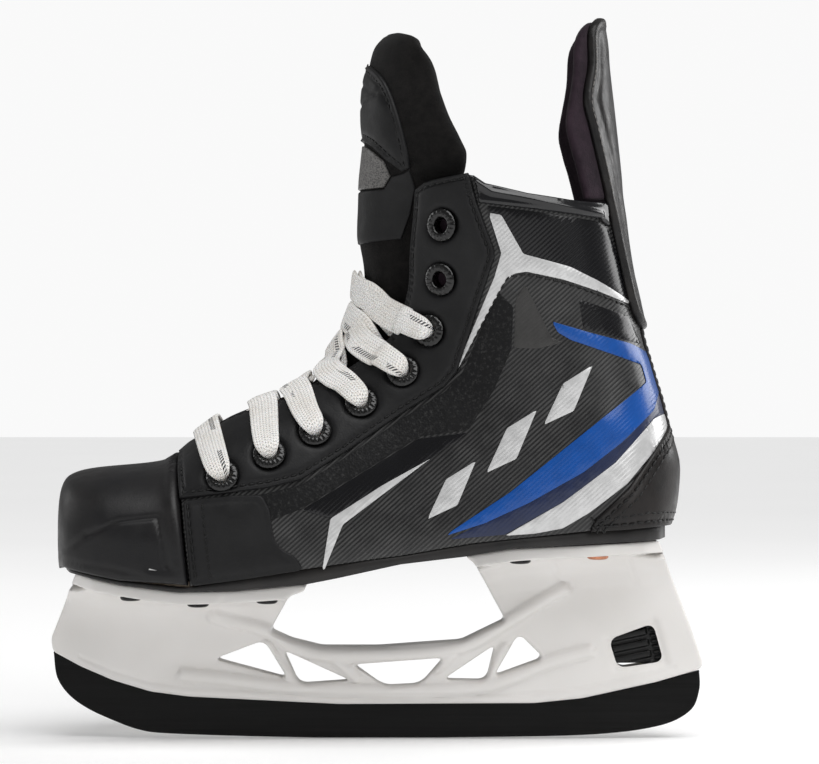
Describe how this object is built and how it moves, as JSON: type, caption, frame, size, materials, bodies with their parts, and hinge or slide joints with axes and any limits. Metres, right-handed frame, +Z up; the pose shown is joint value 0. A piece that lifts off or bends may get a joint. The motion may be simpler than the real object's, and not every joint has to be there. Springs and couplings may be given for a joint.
{
  "type": "ice skate",
  "caption": "Lace-up hockey ice skate: padded boot with tongue and tendon guard on a two-tower blade holder with a drop-out steel runner and release trigger.",
  "frame": {"origin": "middle of the runner's flat bottom, at ice level", "axes": "+Z up, toe towards -X, heel towards +X, outer (lateral) side towards -Y"},
  "size_m": [0.2093, 0.0819, 0.2322],
  "materials": {
    "charcoal_weave": "gloss over a diagonal woven texture",
    "black_leather": "matt, fine grain, stitched",
    "black_gloss": "high gloss",
    "cap_plastic": "satin moulded",
    "guard_plastic": "satin moulded, stitched edge",
    "counter_leather": "satin brown-black",
    "black_felt": "matt needled felt",
    "sole_composite": "satin moulded",
    "board_fibre": "pressed fibre",
    "footbed_foam": "fabric-topped foam",
    "liner_fabric": "brushed, dark purple-brown",
    "eyelet_black": "black enamel",
    "lace_cotton": "flat woven, off-white with dark flecks",
    "aglet_film": "clear film over lace",
    "holder_nylon": "moulded, satin off-white",
    "runner_steel": "black coated, ground edge",
    "rivet_steel": "dull steel",
    "copper": "copper-coloured rivet",
    "trigger_nylon": "ribbed moulded",
    "spring_steel": "drawn wire"
  },
  "bodies": {
    "root": {"toe_cap": "cap_plastic", "quarter_left": "charcoal_weave", "facing_left": "black_leather", "collar_trim_left": "black_gloss", "liner_left": "liner_fabric", "eyelet_left_1": "eyelet_black", "eyelet_left_2": "eyelet_black", "eyelet_left_3": "eyelet_black", "eyelet_left_4": "eyelet_black", "eyelet_left_5": "eyelet_black", "eyelet_left_6": "eyelet_black", "eyelet_left_7": "eyelet_black", "eyelet_left_8": "eyelet_black", "quarter_right": "charcoal_weave", "facing_right": "black_leather", "collar_trim_right": "black_gloss", "liner_right": "liner_fabric", "eyelet_right_1": "eyelet_black", "eyelet_right_2": "eyelet_black", "eyelet_right_3": "eyelet_black", "eyelet_right_4": "eyelet_black", "eyelet_right_5": "eyelet_black", "eyelet_right_6": "eyelet_black", "eyelet_right_7": "eyelet_black", "eyelet_right_8": "eyelet_black", "heel_counter": "counter_leather", "outsole": "sole_composite", "insole_board": "board_fibre", "footbed": "footbed_foam", "tongue_lower": "black_felt", "tendon_guard_base": "guard_plastic", "lace": "lace_cotton", "aglet_left": "aglet_film", "aglet_right": "aglet_film", "holder": "holder_nylon", "rivet_front_left_1": "rivet_steel", "rivet_front_left_2": "rivet_steel", "rivet_front_left_3": "rivet_steel", "rivet_front_right_1": "rivet_steel", "rivet_front_right_2": "rivet_steel", "rivet_front_right_3": "rivet_steel", "rivet_rear_left_1": "copper", "rivet_rear_left_2": "copper", "rivet_rear_right_1": "copper", "rivet_rear_right_2": "copper", "trigger_spring": "spring_steel"},
    "runner": {"runner": "runner_steel"},
    "release_trigger": {"release_trigger": "trigger_nylon"},
    "tongue_upper": {"tongue_upper": "black_felt", "tongue_panel": "black_leather"},
    "tendon_guard": {"tendon_guard": "guard_plastic", "tendon_guard_liner": "liner_fabric"}
  },
  "joints": [
    {"name": "tongue_bend", "type": "hinge", "parent": "root", "child": "tongue_upper", "pos_m": [-0.0053, 0, 0.156], "axis": [0, -1, 0], "range_deg": [0, 25], "stiffness_Nm_per_rad": 0.4},
    {"name": "guard_flex", "type": "hinge", "parent": "root", "child": "tendon_guard", "pos_m": [0.0795, 0, 0.1719], "axis": [0, 1, 0], "range_deg": [0, 25], "stiffness_Nm_per_rad": 1},
    {"name": "runner_drop", "type": "slide", "parent": "root", "child": "runner", "axis": [0, 0, -1], "range_m": [0, 0.025]},
    {"name": "trigger_pull", "type": "slide", "parent": "root", "child": "release_trigger", "axis": [1, 0, 0], "range_m": [0, 0.0045], "stiffness_N_per_m": 300, "deforming": ["trigger_spring"]}
  ]
}
